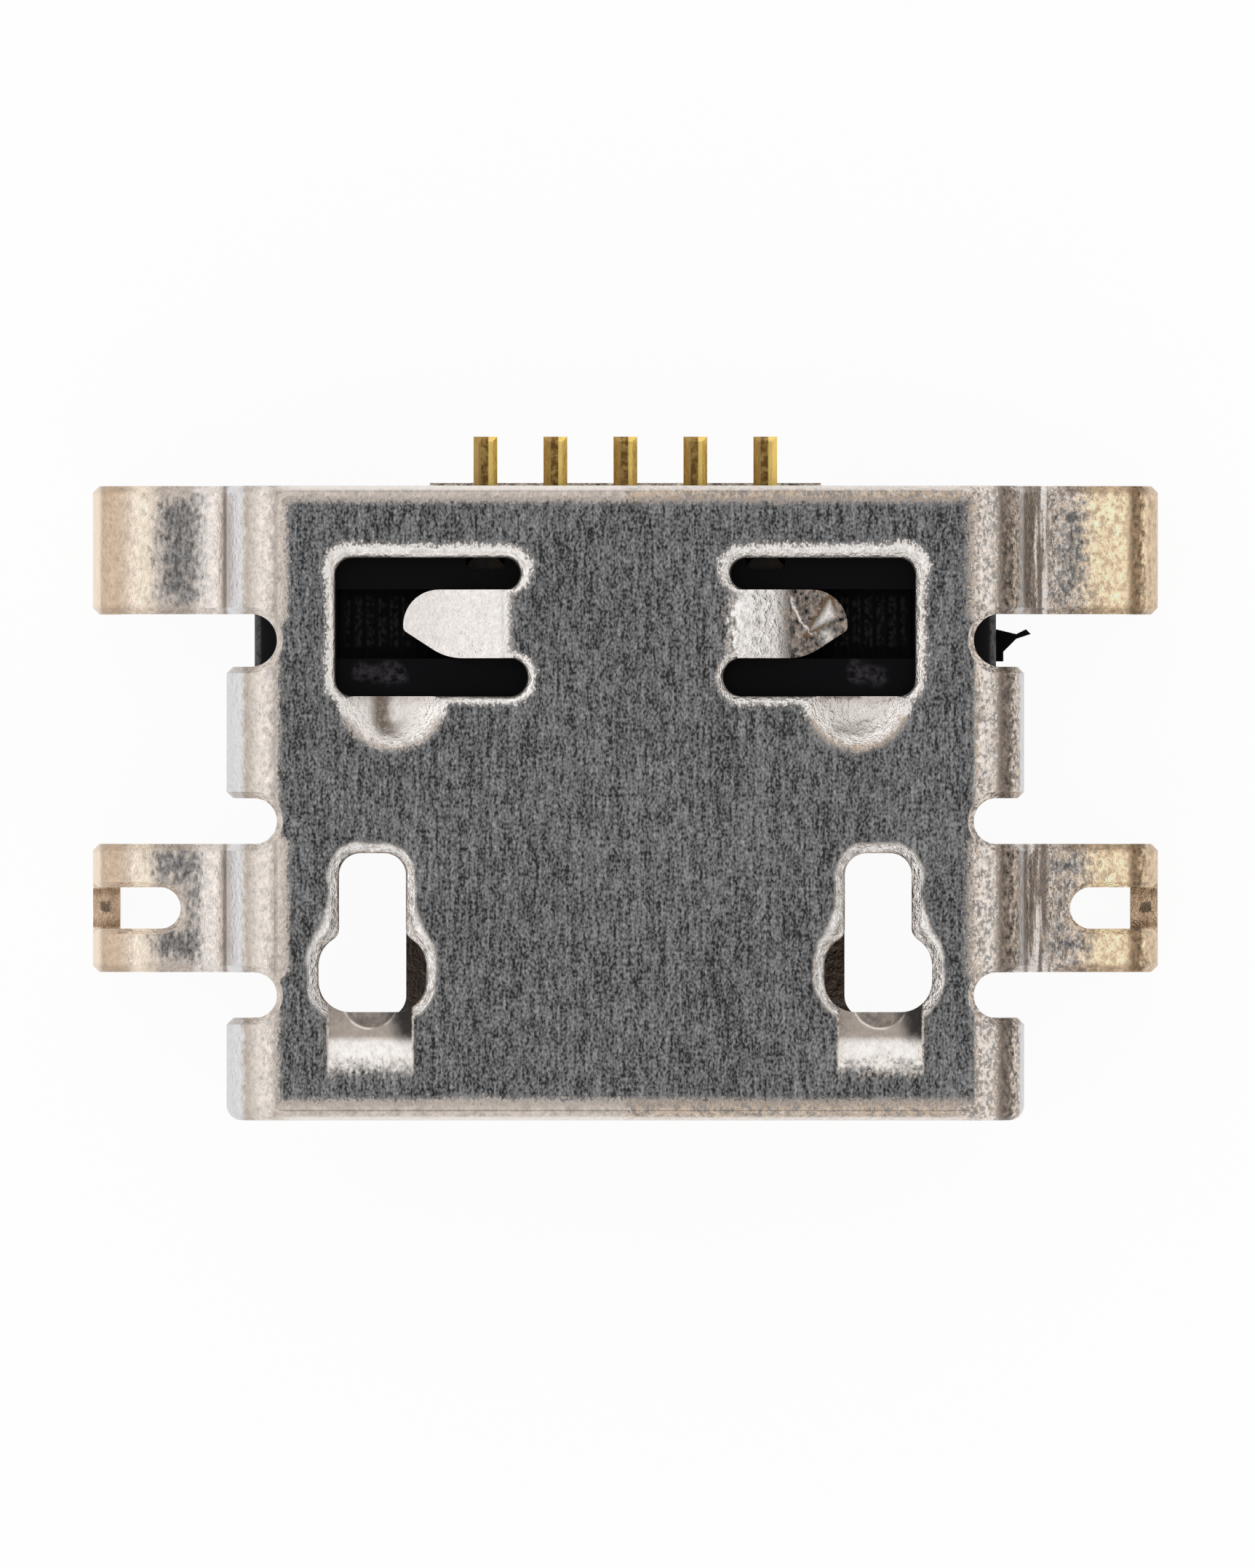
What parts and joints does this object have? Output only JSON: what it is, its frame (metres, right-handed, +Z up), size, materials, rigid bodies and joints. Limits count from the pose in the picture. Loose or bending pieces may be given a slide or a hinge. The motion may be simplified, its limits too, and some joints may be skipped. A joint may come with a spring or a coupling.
{
  "type": "micro usb socket",
  "caption": "Micro USB socket, type B, sunk in a board cut-out: folded metal shell with soldered side ears, spring lances and latches round a black moulded housing with gold contacts.",
  "frame": {"origin": "on the board's upper face, in the middle of the four legs", "axes": "+X across the mouth, +Y from the mouth towards the contact tails, +Z up from the board; the wide wall of the shell is on top"},
  "size_m": [0.0098, 0.0063, 0.0024],
  "materials": {
    "plated_steel": "satin nickel plating with bright rolled edges",
    "black_plastic": "fine satin, as moulded",
    "gold_plating": "bright gold plating"
  },
  "bodies": {
    "root": {"shell": "plated_steel", "housing": "black_plastic", "contact_vbus": "gold_plating", "contact_d_minus": "gold_plating", "contact_d_plus": "gold_plating", "contact_id": "gold_plating", "contact_gnd": "gold_plating"}
  },
  "joints": []
}
